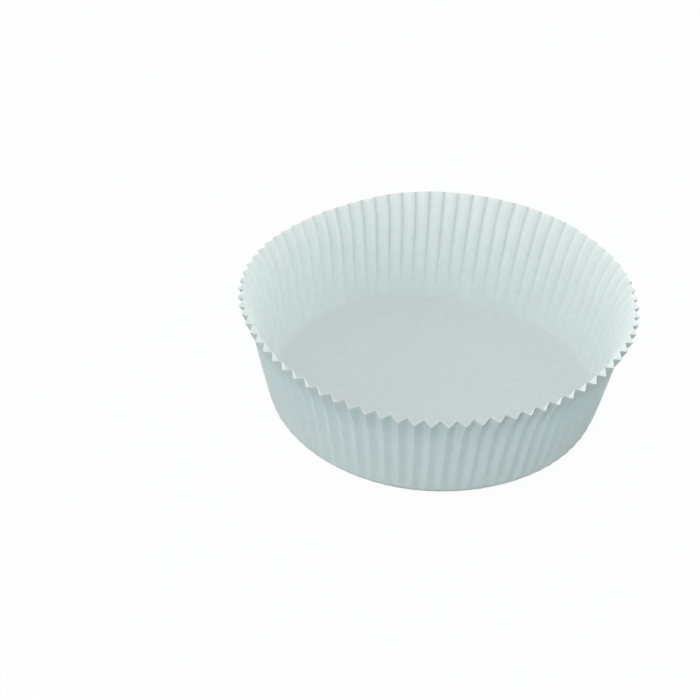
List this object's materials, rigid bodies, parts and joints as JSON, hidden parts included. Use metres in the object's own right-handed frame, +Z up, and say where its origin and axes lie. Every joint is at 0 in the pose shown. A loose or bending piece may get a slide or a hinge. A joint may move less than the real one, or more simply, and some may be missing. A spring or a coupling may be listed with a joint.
{
  "type": "cupcake liner",
  "caption": "Round fluted paper baking cup: a flat base folded up into a low, outward-leaning wall of fine even pleats with a cut zigzag rim.",
  "frame": {"origin": "centre of the underside of the flat base, on the surface that the liner stands on", "axes": "+Z up along the liner's axis, out of its open mouth; +X and +Y each pass through an outer ridge of a pleat"},
  "size_m": [0.101, 0.101, 0.0295],
  "materials": {
    "paper": "matte"
  },
  "bodies": {
    "root": {"liner": "paper"}
  },
  "joints": []
}
